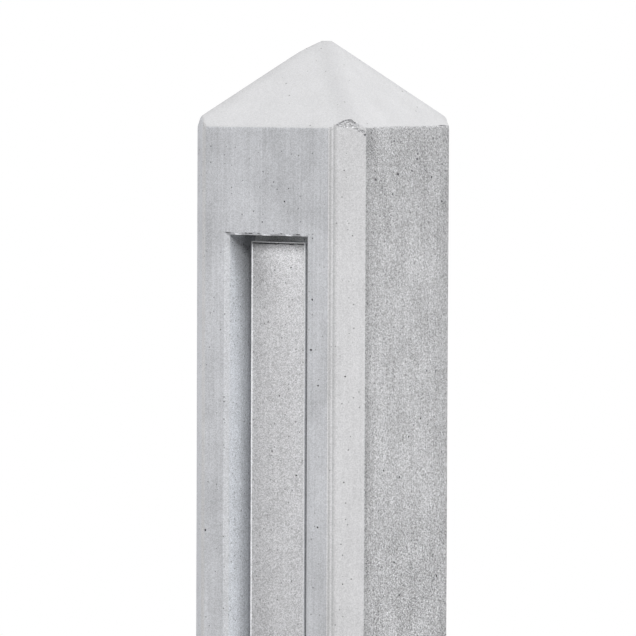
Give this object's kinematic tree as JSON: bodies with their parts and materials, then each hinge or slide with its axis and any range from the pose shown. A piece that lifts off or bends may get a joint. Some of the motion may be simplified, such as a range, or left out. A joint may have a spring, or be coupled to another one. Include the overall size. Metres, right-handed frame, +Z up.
{
  "type": "concrete fence post",
  "caption": "Square cast concrete fence post with cut edges, a blunt pyramid head and a lipped groove with a standing rib down one face.",
  "frame": {"origin": "centre of the square foot, on the plane that the post stands on", "axes": "+Z up the post to its head, -Y out of the grooved front face, +X out of the plain side face that is seen on the right"},
  "size_m": [0.1, 0.1, 1.8],
  "materials": {
    "concrete": "pale grey cast concrete, fair-faced from a steel mould, with fine sand grain and small air holes"
  },
  "bodies": {
    "root": {"post": "concrete"}
  },
  "joints": []
}
